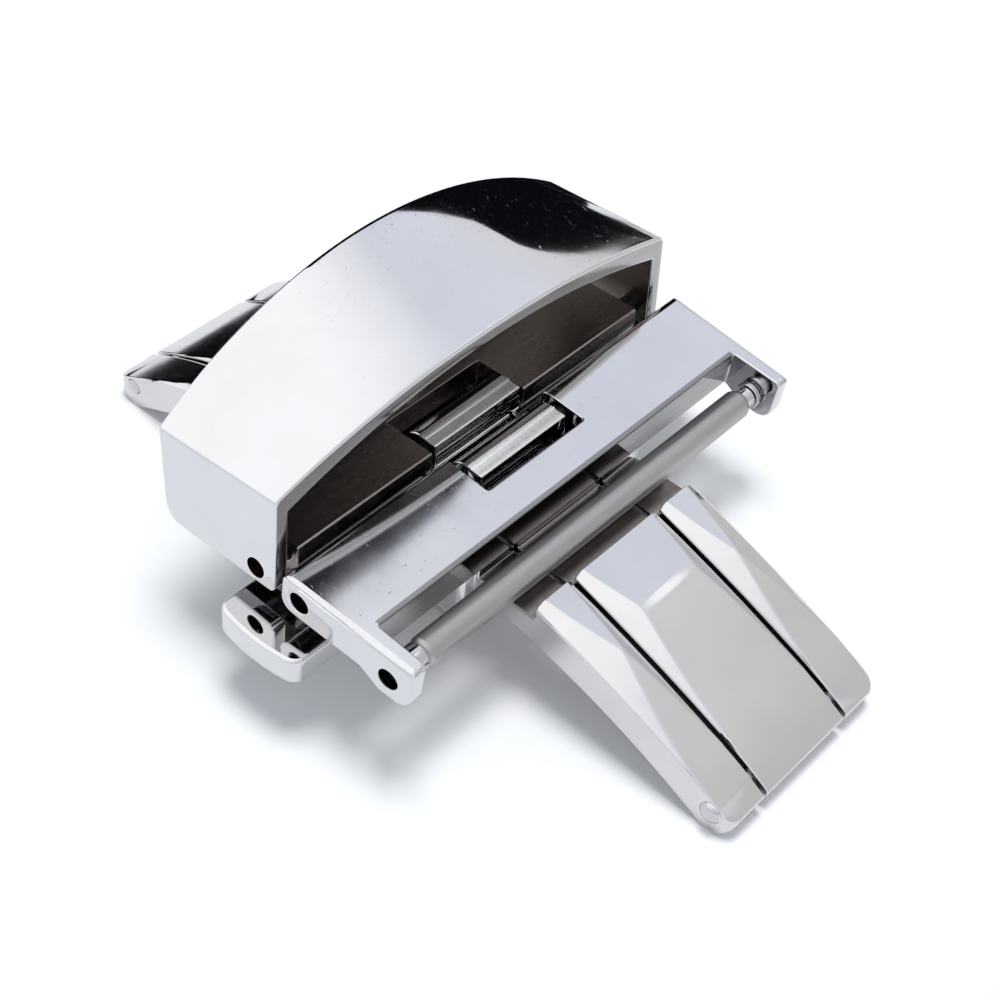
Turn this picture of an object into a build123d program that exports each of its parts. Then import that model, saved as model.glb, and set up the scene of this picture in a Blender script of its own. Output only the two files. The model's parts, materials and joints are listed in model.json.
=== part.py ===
from build123d import *
import math
import os

# A folding butterfly clasp for a 22 mm watch strap, shown folded shut.
# Millimetres. X runs along the strap, Y across it and Z up. The origin is under
# the middle of the clasp, on the surface that the two blade ends stand on.
# The strap tail goes through the arched cover at -X, and the short strap half
# hangs on the spring bar at +X.

# Blade: the curved base of two side rails, with a folding arm between them on each side
strap_width = 22.0
end_pin_pitch = 32.52
arm_width = 5.2
rail_width = 2.15
arm_side_gap = 0.2
blade_end_radius = 1.05
blade_top_radius = 34.2
blade_top_crown = 4.7
blade_bottom_crown = 2.9
blade_corner_radius = 0.6

# Top of the blade: a flat deck in the middle, a sunk strip for the strap loop, then a facet
# that ends at a crease and runs off tangent to the long curve. Sloping bevels open along the
# sides from the sunk strip and run out towards the blade's ends.
deck_rise = 3.9
deck_half_length = 4.05
loop_recess_depth = 0.4
loop_recess_length = 2.9
facet_step_height = 0.75
arm_facet_length = 2.75
arm_facet_drop = 0.51
rail_facet_length = 3.5
rail_facet_drop = 0.73
bevel_rise = 0.5
bevel_edge_radius = 75.0
bevel_start_drop = 0.15
bevel_run_out = 14.5
arm_bevel_share = 0.165
rail_outer_bevel_share = 0.51
rail_inner_bevel_share = 0.35
edge_break = 0.12

# Pins and their fits
end_pin_radius = 0.35
end_pin_head_radius = 0.52
end_pin_head_height = 0.26
hinge_pin_radius = 0.45
hinge_pin_recess = 0.45
fixed_fit = 0.01
running_fit = 0.03
sliding_gap = 0.08

# Latch housing under the middle of the blade
housing_length = 7.8
housing_width = 11.4
housing_shoulder_drop = 0.25
housing_depth = 2.1
housing_floor_thickness = 0.45
housing_screw_radius = 0.3
housing_screw_head_radius = 0.55
housing_screw_head_height = 0.22
housing_screw_length = 1.4
housing_screw_inset = 0.8
housing_corner_radius = 0.4
arm_bay_gap = 0.1

# Push buttons and their catch forks
button_width = 4.3
button_thickness = 1.33
button_deck_drop = 0.6
button_overhang = 1.35
button_end_radius = 9.0
button_travel = 0.5
button_corner_radius = 0.6
fork_window_width = 2.0
fork_tip_gap = 0.9
fork_top_drop = 0.52
fork_bar_thickness = 0.53
fork_window_length = 1.5
button_bridge_length = 0.4
button_slot_width = 0.84
button_spring_room = 1.34
stop_pin_radius = 0.3
button_spring_radius = 0.26
button_spring_wire_radius = 0.055
button_spring_turns = 2

# Arms: knuckles at their inner ends, and the hooks that drop into the housing
arm_end_gap = 0.14
arm_end_thickness = 0.95
knuckle_radius = 0.92
knuckle_reach = 0.8
knuckle_flat_rise = 0.87
catch_length = 0.68
catch_tie_thickness = 0.4
catch_hook_thickness = 0.4
catch_hook_depth = 1.2
catch_lip_height = 0.45
catch_lip_reach = 0.39
catch_clearance = 0.06

# Arched cover
cover_pin_offset = 1.4
cover_tilt = 2.6
cover_front_reach = 1.03
cover_rear_reach = 5.0
cover_wall_bottom = 0.7
cover_rear_lean = 4.3
cover_front_side_height = 3.96
cover_front_crown_share = 0.127
cover_rear_side_height = 3.65
cover_rear_crown_share = 0.294
cover_side_step = 0.165
cover_wall_lean = 0.045
cover_wall = 0.67
cover_roof_side_thickness = 0.9
cover_rear_corner_radius = 0.8
cover_front_corner_radius = 0.25
cover_roof_edge_radius = 0.35

# Strap plate inside the cover, with the peg that holds a strap hole
plate_side_gap = 0.74
plate_barrel_radius = 0.93
plate_front_reach = 0.9
plate_top = 0.65
plate_front_thickness = 0.75
plate_edge_radius = 0.12
plate_deck_gap = 0.12
plate_thickness = 1.2
plate_rear_reach = 4.6
plate_notch_clearance = 0.2
plate_notch_reach = 1.7
peg_offset = 3.3
peg_radius = 0.75
peg_height = 2.1
peg_top_share = 0.33
peg_rivet_radius = 0.5

# Buckle frame with its two ears
frame_pin_offset = 1.07
frame_tilt = 3.8
frame_ear_thickness = 0.915
frame_taper = 0.039
frame_top = 0.96
frame_rear_reach = 0.9
frame_rear_top_radius = 0.35
frame_rear_under_radius = 0.6
frame_edge_radius = 0.25
frame_under = 0.8
frame_deck_gap = 0.32
frame_bar_reach = 3.15
frame_ear_reach = 5.65
frame_ear_drop = 1.3
frame_ear_corner = 0.7
frame_notch_clearance = 0.35
frame_notch_front = 1.4
spring_bar_reach = 4.5
spring_bar_drop = 0.38
ear_hole_radius = 0.45

# Spring bar: a tube, two flanged tips and the spring between them
spring_bar_radius = 0.65
spring_bar_near_reach = 0.05
near_collar_length = 0.9
near_collar_taper = 0.2
spring_bar_far_reach = 0.125
spring_bar_bore_radius = 0.5
spring_bar_lip_length = 0.4
spring_bar_shoulder = 0.2
tip_neck_radius = 0.42
tip_head_radius = 0.46
tip_head_length = 0.8
tip_stem_length = 5.6
tip_collar_radius = 0.6
tip_collar_thickness = 0.25
tip_collar_taper = 0.06
tip_nose_radius = 0.38
tip_nose_bite = 0.4
tip_travel = 0.5
bar_spring_radius = 0.33
bar_spring_wire_radius = 0.09
bar_spring_turns = 4
wire_sides = 4

# Overrun of every cut past the face it opens
overrun = 0.5

# Heights and places worked out from the sizes above
end_pin_x = end_pin_pitch / 2
end_pin_z = blade_end_radius
top_centre_z = end_pin_z + blade_top_crown - blade_top_radius
# The underside's arc runs into the round blade ends without a step
blade_bottom_radius = (end_pin_x**2 + blade_bottom_crown**2 - blade_end_radius**2) / (
    2 * (blade_bottom_crown + blade_end_radius)
)
bottom_centre_z = end_pin_z + blade_bottom_crown - blade_bottom_radius
deck_z = end_pin_z + deck_rise
recess_z = deck_z - loop_recess_depth
recess_end_x = deck_half_length + loop_recess_length
facet_start_z = recess_z + facet_step_height
rail_inner_y = arm_width / 2 + arm_side_gap
rail_outer_y = rail_inner_y + rail_width
blade_width = 2 * rail_outer_y

arm_under_z = deck_z - arm_end_thickness
arm_end_x = arm_end_gap / 2
housing_top_z = deck_z - housing_shoulder_drop
housing_bottom_z = housing_top_z - housing_depth
button_top_z = deck_z - button_deck_drop
button_bottom_z = button_top_z - button_thickness
frame_half_width = strap_width / 2 + frame_ear_thickness
button_outer_y = frame_half_width + button_overhang
fork_top_z = button_top_z - fork_top_drop
fork_bar_end_y = arm_width / 2 - catch_hook_thickness - catch_lip_reach - catch_clearance
fork_window_end_y = fork_bar_end_y + fork_window_length
button_slot_start_y = fork_window_end_y + button_bridge_length
stop_pin_y = button_slot_start_y + running_fit + stop_pin_radius
button_slot_end_y = stop_pin_y + stop_pin_radius + button_spring_room

cover_pin_z = deck_z + plate_barrel_radius + plate_deck_gap
frame_pin_z = deck_z + frame_under + frame_deck_gap
cover_place = Pos(-cover_pin_offset, 0, cover_pin_z) * Rot(0, -cover_tilt, 0)
frame_place = Pos(frame_pin_offset, 0, frame_pin_z) * Rot(0, frame_tilt, 0)
cover_half_width = frame_half_width - cover_side_step
cover_front_crown_height = cover_front_side_height + cover_front_crown_share * cover_half_width
cover_rear_crown_height = cover_rear_side_height + cover_rear_crown_share * cover_half_width
plate_half_width = cover_half_width - cover_wall - plate_side_gap
full_depth = 2 * frame_half_width + 2 * overrun


def side_slab(side_view, y_from, y_to):
    """Extrude an outline drawn as (x, z) between two places across the clasp."""
    return Pos(0, y_to, 0) * extrude(Plane.XZ * side_view, amount=y_to - y_from)


def outline(*points):
    """Close a straight-sided outline."""
    return make_face(Polyline(*points, close=True))


def span_box(x_from, x_to, y_from, y_to, z_from, z_to):
    """A block given by its two ends along each axis."""
    block = Box(x_to - x_from, y_to - y_from, z_to - z_from, align=Align.MIN)
    return Pos(x_from, y_from, z_from) * block


def cross_rod(x, z, radius, y_from, y_to):
    """A round rod across the clasp."""
    stand = (Align.CENTER, Align.CENTER, Align.MIN)
    rod = Rot(-90, 0, 0) * Cylinder(radius, y_to - y_from, align=stand)
    return Pos(x, y_from, z) * rod


def strip_outline(facet_length, facet_drop):
    """Side view of one blade strip, from the middle out to its right end."""
    crease_x = recess_end_x + facet_length
    crease_z = facet_start_z - facet_drop
    top_disc = Pos(0, top_centre_z) * Circle(blade_top_radius)
    bottom_disc = Pos(0, bottom_centre_z) * Circle(blade_bottom_radius)
    span = Rectangle(end_pin_x, blade_top_radius, align=(Align.MIN, Align.CENTER))
    band = (top_disc & span) - bottom_disc
    eye = (Pos(end_pin_x, end_pin_z) * Circle(blade_end_radius)) & top_disc
    crease_reach = math.hypot(crease_x, crease_z - top_centre_z)
    crease_angle = math.atan2(crease_x, crease_z - top_centre_z)
    tangent_angle = crease_angle + math.acos(blade_top_radius / crease_reach)
    tangent_x = blade_top_radius * math.sin(tangent_angle)
    tangent_z = top_centre_z + blade_top_radius * math.cos(tangent_angle)
    facets = outline(
        (recess_end_x, recess_z),
        (recess_end_x, facet_start_z),
        (crease_x, crease_z),
        (tangent_x, tangent_z),
    )
    cut_height = blade_top_crown
    deck_cut = Pos(0, deck_z) * Rectangle(deck_half_length, cut_height, align=Align.MIN)
    recess_cut = Rectangle(loop_recess_length, cut_height, align=Align.MIN)
    recess_cut = Pos(deck_half_length, recess_z) * recess_cut
    return band - deck_cut - recess_cut + facets + eye


def bevel_centre():
    """Centre of the arc that a bevel's lower edge follows, from the sunk strip to its run-out."""
    start_x = recess_end_x
    start_z = facet_start_z - bevel_start_drop
    end_x = bevel_run_out
    end_z = top_centre_z + math.sqrt(blade_top_radius**2 - end_x**2)
    half_chord = math.hypot(end_x - start_x, end_z - start_z) / 2
    depth = math.sqrt(bevel_edge_radius**2 - half_chord**2)
    along = math.atan2(end_z - start_z, end_x - start_x)
    middle_x = (start_x + end_x) / 2
    middle_z = (start_z + end_z) / 2
    return middle_x + depth * math.sin(along), middle_z - depth * math.cos(along)


def bevelled_ring(y_from, y_to, run_from, run_to):
    """A ring round the bevels' centre whose rim slopes up from both sides."""
    centre_x, centre_z = bevel_centre()
    rim = centre_z + bevel_edge_radius
    section = outline(
        (y_from, centre_z),
        (y_to, centre_z),
        (y_to, rim - edge_break),
        (y_to - edge_break, rim),
        (y_to - edge_break - run_to, rim + bevel_rise),
        (y_from + edge_break + run_from, rim + bevel_rise),
        (y_from + edge_break, rim),
        (y_from, rim - edge_break),
    )
    upright = Plane((centre_x, 0, 0), x_dir=(0, 1, 0), z_dir=(1, 0, 0))
    axis = Axis((centre_x, 0, centre_z), (0, 1, 0))
    return revolve(upright * section, axis, 360)


def make_base():
    """The two rails, joined by the latch housing under the middle."""
    strip = strip_outline(rail_facet_length, rail_facet_drop)
    half_rail = side_slab(strip, rail_inner_y, rail_outer_y)
    inner_run = rail_inner_bevel_share * rail_width
    outer_run = rail_outer_bevel_share * rail_width
    half_rail &= bevelled_ring(rail_inner_y, rail_outer_y, inner_run, outer_run)
    rail = half_rail + mirror(half_rail, Plane.YZ)
    plan = RectangleRounded(end_pin_pitch + 2 * blade_end_radius, blade_width, blade_corner_radius)
    rail &= extrude(plan, amount=deck_z + blade_top_crown)
    base = rail + mirror(rail, Plane.XZ)

    block = Rectangle(housing_length, housing_width)
    block = fillet(block.vertices(), housing_corner_radius)
    base += Pos(0, 0, housing_bottom_z) * extrude(block, amount=housing_depth)
    bay_x = housing_length / 2 + overrun
    bay_low = arm_under_z - arm_bay_gap
    base -= span_box(-bay_x, bay_x, -rail_inner_y, rail_inner_y, bay_low, deck_z + overrun)
    channel_x = button_width / 2 + sliding_gap
    channel_y = housing_width / 2 + overrun
    channel_bottom = button_bottom_z - sliding_gap
    channel_top = button_top_z + sliding_gap
    base -= span_box(-channel_x, channel_x, -channel_y, channel_y, channel_bottom, channel_top)
    well_x = fork_window_width / 2
    well_low = housing_bottom_z - overrun
    base -= span_box(-well_x, well_x, -rail_inner_y, rail_inner_y, well_low, channel_top)

    for side in (-1, 1):
        hole_radius = end_pin_radius + fixed_fit
        base -= cross_rod(side * end_pin_x, end_pin_z, hole_radius, -blade_width, blade_width)
        pin_hole = Cylinder(stop_pin_radius + fixed_fit, 2 * (stop_pin_top() - channel_top))
        base -= Pos(0, side * stop_pin_y, channel_top) * pin_hole
        base -= Pos(0, side * stop_pin_y, housing_bottom_z) * Cylinder(
            stop_pin_radius + fixed_fit, 2 * (channel_bottom - housing_bottom_z + overrun)
        )
    thread_depth = housing_screw_length - housing_floor_thickness + overrun / 2
    for x, y in screw_places():
        screw_hole = Cylinder(housing_screw_radius + fixed_fit, 2 * thread_depth)
        base -= Pos(x, y, housing_bottom_z) * screw_hole
    return base


def stop_pin_top():
    """The stop pins end halfway through the deck above the buttons."""
    channel_top = button_top_z + sliding_gap
    return (channel_top + deck_z) / 2


def screw_places():
    """The two screws stand one inset in from opposite corners of the housing."""
    x = housing_length / 2 - housing_screw_inset
    y = housing_width / 2 - housing_screw_inset
    return [(-x, -y), (x, y)]


def make_housing_floor():
    """The plate that closes the latch housing from below."""
    block = Rectangle(housing_length, housing_width)
    block = fillet(block.vertices(), housing_corner_radius)
    low = housing_bottom_z - housing_floor_thickness
    floor = Pos(0, 0, low) * extrude(block, amount=housing_floor_thickness)
    for x, y in screw_places():
        head_hole = Cylinder(housing_screw_head_radius + fixed_fit, 2 * housing_screw_head_height)
        shank_hole = Cylinder(housing_screw_radius + fixed_fit, 2 * housing_screw_length)
        floor -= Pos(x, y, low) * (head_hole + shank_hole)
    return floor


def make_housing_screws():
    """Two flat-headed screws, flush with the underside."""
    low = housing_bottom_z - housing_floor_thickness
    stand = (Align.CENTER, Align.CENTER, Align.MIN)
    screw = Cylinder(housing_screw_radius, housing_screw_length, align=stand)
    screw += Cylinder(housing_screw_head_radius, housing_screw_head_height, align=stand)
    return Compound([Pos(x, y, low) * screw for x, y in screw_places()])


def make_stop_pins():
    """Two upright pins that keep the buttons in and back their springs."""
    stand = (Align.CENTER, Align.CENTER, Align.MIN)
    pin = Cylinder(stop_pin_radius, stop_pin_top() - housing_bottom_z, align=stand)
    return Compound([Pos(0, side * stop_pin_y, housing_bottom_z) * pin for side in (-1, 1)])


def make_end_pin(x, head_side):
    """A riveted pin across a blade end, domed on one side and flush on the other."""
    half = rail_outer_y
    pin = cross_rod(x, end_pin_z, end_pin_radius, -half, half)
    dome_radius = (end_pin_head_radius**2 + end_pin_head_height**2) / (2 * end_pin_head_height)
    ball = Pos(x, head_side * (half + end_pin_head_height - dome_radius), end_pin_z) * Sphere(dome_radius)
    near, far = sorted((head_side * half, head_side * (half + end_pin_head_height)))
    return pin + (ball & cross_rod(x, end_pin_z, end_pin_head_radius, near, far))


def make_arm(side, pin_x, pin_z):
    """A folding arm: the blade strip, then a knuckle that carries the hinge pin."""
    strip = strip_outline(arm_facet_length, arm_facet_drop)
    strip -= Rectangle(arm_end_x, blade_top_radius, align=(Align.MIN, Align.CENTER))
    under_x = housing_length / 2 + arm_bay_gap
    strip -= Rectangle(under_x, arm_under_z, align=Align.MIN)
    arm = side_slab(strip, -arm_width / 2, arm_width / 2)
    bevel_run = arm_bevel_share * arm_width
    arm &= bevelled_ring(-arm_width / 2, arm_width / 2, bevel_run, bevel_run)
    if side < 0:
        arm = mirror(arm, Plane.YZ)
    neck_height = pin_z - arm_under_z
    knuckle = Pos(pin_x, arm_under_z) * Rectangle(
        2 * knuckle_reach, neck_height, align=(Align.CENTER, Align.MIN)
    )
    knuckle += Pos(pin_x, pin_z) * Circle(knuckle_radius)
    knuckle += Pos(pin_x, arm_under_z) * Rectangle(
        knuckle_reach, neck_height + knuckle_flat_rise, align=(Align.MIN, Align.MIN)
    )
    arm += side_slab(knuckle, -arm_width / 2, arm_width / 2)
    arm -= cross_rod(pin_x, pin_z, hinge_pin_radius + running_fit, -arm_width, arm_width)
    arm -= cross_rod(side * end_pin_x, end_pin_z, end_pin_radius + running_fit, -arm_width, arm_width)
    pocket_end = arm_end_x + catch_length + fixed_fit
    pocket_top = arm_under_z + catch_tie_thickness + fixed_fit
    pocket_y = arm_width / 2 + fixed_fit
    near, far = sorted((0, side * pocket_end))
    arm -= span_box(near, far, -pocket_y, pocket_y, arm_under_z - overrun, pocket_top)
    return arm


def make_catch(side):
    """A catch set into an arm's end: a tie with a hook at both sides, lips turned inward."""
    near, far = sorted((side * arm_end_x, side * (arm_end_x + catch_length)))
    half = arm_width / 2
    catch = span_box(near, far, -half, half, arm_under_z, arm_under_z + catch_tie_thickness)
    low = arm_under_z - catch_hook_depth
    hook = span_box(near, far, -half, -half + catch_hook_thickness, low, arm_under_z)
    lip_end = -fork_bar_end_y - catch_clearance
    hook += span_box(near, far, -half, lip_end, low, low + catch_lip_height)
    return catch + hook + mirror(hook, Plane.XZ)


def make_button(side):
    """A push button: a bar with a fork on its inner end that reaches over the catches."""
    half = button_width / 2
    shank = span_box(-half, half, -button_outer_y, -fork_window_end_y, button_bottom_z, button_top_z)
    crown = Pos(0, button_end_radius - button_outer_y, button_bottom_z) * Cylinder(
        button_end_radius, button_thickness, align=(Align.CENTER, Align.CENTER, Align.MIN)
    )
    shank &= crown
    outer_corners = shank.edges().filter_by(Axis.Z).group_by(Axis.Y)[0]
    shank = fillet(outer_corners, button_corner_radius)
    top_rim = shank.faces().sort_by(Axis.Z)[-1].edges()
    bottom_rim = shank.faces().sort_by(Axis.Z)[0].edges()
    shank = chamfer(top_rim + bottom_rim, edge_break)
    fork = span_box(-half, half, -fork_window_end_y, -fork_tip_gap, button_bottom_z, fork_top_z)
    well = fork_window_width / 2
    cut_low = button_bottom_z - overrun
    cut_high = button_top_z + overrun
    fork -= span_box(-well, well, -fork_window_end_y, -fork_bar_end_y, cut_low, cut_high)
    bar_bottom = fork_top_z - fork_bar_thickness
    fork -= span_box(-well, well, -fork_bar_end_y, 0, cut_low, bar_bottom)
    slot = button_slot_width / 2
    button = shank + fork
    button -= span_box(-slot, slot, -button_slot_end_y, -button_slot_start_y, cut_low, cut_high)
    if side > 0:
        button = mirror(button, Plane.XZ)
    return button


def make_coil(coil_radius, wire_radius, turns, length):
    """A compression spring standing on the XY plane."""
    rise = length - 2 * wire_radius
    path = Helix(pitch=rise / turns, height=rise, radius=coil_radius)
    wire = Plane(origin=path @ 0, z_dir=path % 0) * RegularPolygon(wire_radius, wire_sides)
    return Pos(0, 0, wire_radius) * sweep(wire, path=path)


def make_button_spring(side):
    """A small spring between the stop pin and the end of the button's slot."""
    room = button_spring_room - button_travel
    length = room - 2 * running_fit
    coil = make_coil(button_spring_radius, button_spring_wire_radius, button_spring_turns, length)
    start = stop_pin_y + stop_pin_radius + running_fit
    height = (button_top_z + button_bottom_z) / 2
    spring = Pos(0, start, height) * Rot(-90, 0, 0) * coil
    if side < 0:
        spring = mirror(spring, Plane.XZ)
    return spring


def arch_section(half_bottom, bottom, half_top, side_top, crown):
    """Two leaning walls and an arched top, drawn as (y, w)."""
    walls = Polyline(
        (-half_top, side_top), (-half_bottom, bottom), (half_bottom, bottom), (half_top, side_top)
    )
    roof = ThreePointArc((half_top, side_top), (0, crown), (-half_top, side_top))
    return make_face(walls + roof)


def cover_body(bottom, wall, roof_side, roof_crown, over):
    """A ruled body between the front arch and the leaning rear arch of the cover."""
    half_bottom = cover_half_width - wall + cover_wall_lean * (cover_wall_bottom - bottom)
    sections = []
    front_plane = Plane((cover_front_reach + over, 0, 0), x_dir=(0, 1, 0), z_dir=(1, 0, 0))
    rear_reach = cover_rear_reach + cover_wall_bottom * math.tan(math.radians(cover_rear_lean))
    lean = math.radians(cover_rear_lean)
    rear_plane = Plane(
        (-rear_reach - over, 0, 0), x_dir=(0, 1, 0), z_dir=(math.cos(lean), 0, math.sin(lean))
    )
    places = (
        (front_plane, 1, cover_front_side_height, cover_front_crown_height),
        (rear_plane, math.cos(lean), cover_rear_side_height, cover_rear_crown_height),
    )
    for plane, upright, side_height, crown_height in places:
        side_top = side_height - roof_side
        half_top = cover_half_width - wall - cover_wall_lean * side_top
        crown = crown_height - roof_crown
        section = arch_section(half_bottom, bottom / upright, half_top, side_top / upright, crown / upright)
        sections.append(plane * section)
    body = loft(sections, ruled=True)
    if wall > 0:
        return body
    boxes = [(edge, edge.bounding_box()) for edge in body.edges()]
    roof_edges = [edge for edge, box in boxes if box.size.X > cover_rear_reach and box.min.Z > 0]
    body = fillet(roof_edges, cover_roof_edge_radius)
    body = fillet(body.edges().filter_by(Axis.Y).sort_by(Axis.X)[0], cover_rear_corner_radius)
    return fillet(body.edges().filter_by(Axis.Y).sort_by(Axis.X)[-1], cover_front_corner_radius)


def make_cover():
    """The arched cover: a tunnel for the strap tail, open at both ends and below."""
    cover = cover_body(-cover_wall_bottom, 0, 0, 0, 0)
    cut_low = -cover_wall_bottom - overrun
    cover -= cover_body(cut_low, cover_wall, cover_roof_side_thickness, cover_wall, overrun)
    cover = cover_place * cover
    hole_radius = hinge_pin_radius + fixed_fit
    cover -= cross_rod(-cover_pin_offset, cover_pin_z, hole_radius, -full_depth, full_depth)
    return cover


def make_strap_plate():
    """The flap inside the cover, on the same pin, with a notch for the arm's knuckle."""
    low = plate_top - plate_thickness
    nose = plate_thickness / 2
    side = Circle(plate_barrel_radius)
    side -= Pos(0, plate_top) * Rectangle(
        2 * plate_barrel_radius, plate_barrel_radius, align=(Align.CENTER, Align.MIN)
    )
    front_block = Rectangle(plate_front_reach, plate_front_thickness, align=(Align.MIN, Align.MAX))
    side += Pos(0, plate_top) * front_block
    nose_x = nose - plate_rear_reach
    side += Pos(nose_x, low) * Rectangle(-nose_x, plate_thickness, align=Align.MIN)
    side += Pos(nose_x, low + nose) * Circle(nose)
    front_edge = side.vertices().group_by(Axis.Y)[-1].sort_by(Axis.X)[-1]
    side = fillet(front_edge, plate_edge_radius)
    plate = side_slab(side, -plate_half_width, plate_half_width)
    notch_y = arm_width / 2 + plate_notch_clearance
    notch_front = plate_barrel_radius + overrun
    notch_height = plate_thickness + overrun
    plate -= span_box(-plate_notch_reach, notch_front, -notch_y, notch_y, -notch_height, notch_height)
    plate -= cross_rod(0, 0, hinge_pin_radius + running_fit, -full_depth, full_depth)
    plate -= Pos(-peg_offset, 0, 0) * Cylinder(peg_rivet_radius + fixed_fit, full_depth)
    return cover_place * plate


def make_strap_peg():
    """The round peg riveted through the strap plate."""
    stand = (Align.CENTER, Align.CENTER, Align.MIN)
    rivet = Cylinder(peg_rivet_radius, plate_thickness, align=stand)
    peg = Pos(0, 0, plate_top - plate_thickness) * rivet
    post = Cylinder(peg_radius, peg_height, align=stand)
    post = chamfer(post.edges().sort_by(Axis.Z)[-1], peg_top_share * peg_radius)
    peg += Pos(0, 0, plate_top) * post
    return cover_place * Pos(-peg_offset, 0, 0) * peg


def make_hinge_pin(x, z, half_width):
    """A long pin from wall to wall, its ends sunk in the outer holes."""
    half = half_width - hinge_pin_recess
    return cross_rod(x, z, hinge_pin_radius, -half, half)


def make_frame():
    """The buckle frame: a flat bar with a rounded rear edge and an ear at each end."""
    bar = outline(
        (-frame_rear_reach, frame_top),
        (frame_bar_reach, frame_top),
        (frame_bar_reach, -frame_under),
        (-frame_rear_reach, -frame_under),
    )
    rear_under = bar.vertices().group_by(Axis.X)[0].sort_by(Axis.Y)[0]
    bar = fillet(rear_under, frame_rear_under_radius)
    rear_top = bar.vertices().group_by(Axis.Y)[-1].sort_by(Axis.X)[0]
    bar = fillet(rear_top, frame_rear_top_radius)
    ear_corner = frame_ear_corner
    ear_side = outline(
        (0, frame_top),
        (frame_ear_reach, frame_top),
        (frame_ear_reach, -frame_ear_drop),
        (spring_bar_reach - ear_corner / 2, -frame_ear_drop),
        (frame_bar_reach, -frame_under),
        (0, -frame_under),
    )
    tip = ear_side.vertices().group_by(Axis.X)[-1]
    ear_side = fillet(tip.sort_by(Axis.Y)[0], ear_corner)
    ear_side = fillet(ear_side.vertices().group_by(Axis.Y)[-1].sort_by(Axis.X)[-1], edge_break)
    frame = side_slab(bar, -frame_half_width, frame_half_width)
    for side in (-1, 1):
        inner, outer = sorted((side * strap_width / 2, side * frame_half_width))
        frame += side_slab(ear_side + bar, inner, outer)
    rear_y = frame_half_width + frame_taper * frame_rear_reach
    front_y = frame_half_width - frame_taper * frame_ear_reach
    plan = outline(
        (-frame_rear_reach, -rear_y),
        (frame_ear_reach, -front_y),
        (frame_ear_reach, front_y),
        (-frame_rear_reach, rear_y),
    )
    envelope = Pos(0, 0, -frame_ear_drop) * extrude(plan, amount=frame_ear_drop + frame_top)
    top_edges = envelope.faces().sort_by(Axis.Z)[-1].edges()
    front_and_sides = top_edges.sort_by(Axis.X)[1:]
    frame &= fillet(front_and_sides, frame_edge_radius)
    notch_y = arm_width / 2 + frame_notch_clearance
    notch_rear = -frame_rear_reach - overrun
    notch_low = -frame_under - overrun
    frame -= span_box(notch_rear, frame_notch_front, -notch_y, notch_y, notch_low, frame_top + overrun)
    frame -= cross_rod(0, 0, hinge_pin_radius + fixed_fit, -full_depth, full_depth)
    frame -= cross_rod(spring_bar_reach, -spring_bar_drop, ear_hole_radius, -full_depth, full_depth)
    return frame_place * frame


def lathe(*points):
    """Turn a half outline of (radius, length) about the Y axis of the bar."""
    return revolve(outline(*points), Axis.Y, 360)


def tube_ends():
    """The tube's ends: one tip is pushed home against it, the other stands sprung out."""
    start = -strap_width / 2 + spring_bar_near_reach + near_collar_length + running_fit
    end = strap_width / 2 - spring_bar_far_reach - tip_collar_thickness - running_fit - tip_travel
    return start, end


def make_bar_tube():
    """The tube of the spring bar, necked in at both ends to hold the tips."""
    start, end = tube_ends()
    lip_radius = tip_neck_radius + running_fit
    shoulder = spring_bar_shoulder
    tube = lathe(
        (lip_radius, start),
        (spring_bar_radius - shoulder / 2, start),
        (spring_bar_radius, start + shoulder),
        (spring_bar_radius, end - shoulder),
        (spring_bar_radius - shoulder / 2, end),
        (lip_radius, end),
        (lip_radius, end - spring_bar_lip_length),
        (spring_bar_bore_radius, end - spring_bar_lip_length),
        (spring_bar_bore_radius, start + spring_bar_lip_length),
        (lip_radius, start + spring_bar_lip_length),
    )
    return bar_place() * tube


def bar_place():
    """The spring bar's own frame: its axis through the two ear holes."""
    return frame_place * Pos(spring_bar_reach, 0, -spring_bar_drop)


def make_tip(side):
    """A flanged tip: head and stem in the tube, collar and nose outside it."""
    near = side < 0
    collar_end = strap_width / 2 - (spring_bar_near_reach if near else spring_bar_far_reach)
    collar_start = collar_end - (near_collar_length if near else tip_collar_thickness)
    collar_taper = near_collar_taper if near else tip_collar_taper
    nose_end = strap_width / 2 + tip_nose_bite
    stem_start = collar_start - tip_stem_length
    tip = lathe(
        (0, stem_start),
        (tip_head_radius, stem_start),
        (tip_head_radius, stem_start + tip_head_length),
        (tip_neck_radius, stem_start + tip_head_length),
        (tip_neck_radius, collar_start),
        (tip_collar_radius, collar_start),
        (tip_collar_radius, collar_end - collar_taper),
        (tip_collar_radius - collar_taper / 2, collar_end),
        (tip_nose_radius, collar_end),
        (tip_nose_radius, nose_end),
        (0, nose_end),
    )
    if side < 0:
        tip = mirror(tip, Plane.XZ)
    return bar_place() * tip


def make_bar_spring():
    """The spring in the tube, between the heads of the two tips."""
    tube_start, tube_end = tube_ends()
    start = tube_start + tip_stem_length
    end = tube_end - tip_stem_length
    coil = make_coil(bar_spring_radius, bar_spring_wire_radius, bar_spring_turns, end - start)
    return bar_place() * Pos(0, start, 0) * Rot(-90, 0, 0) * coil


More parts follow.
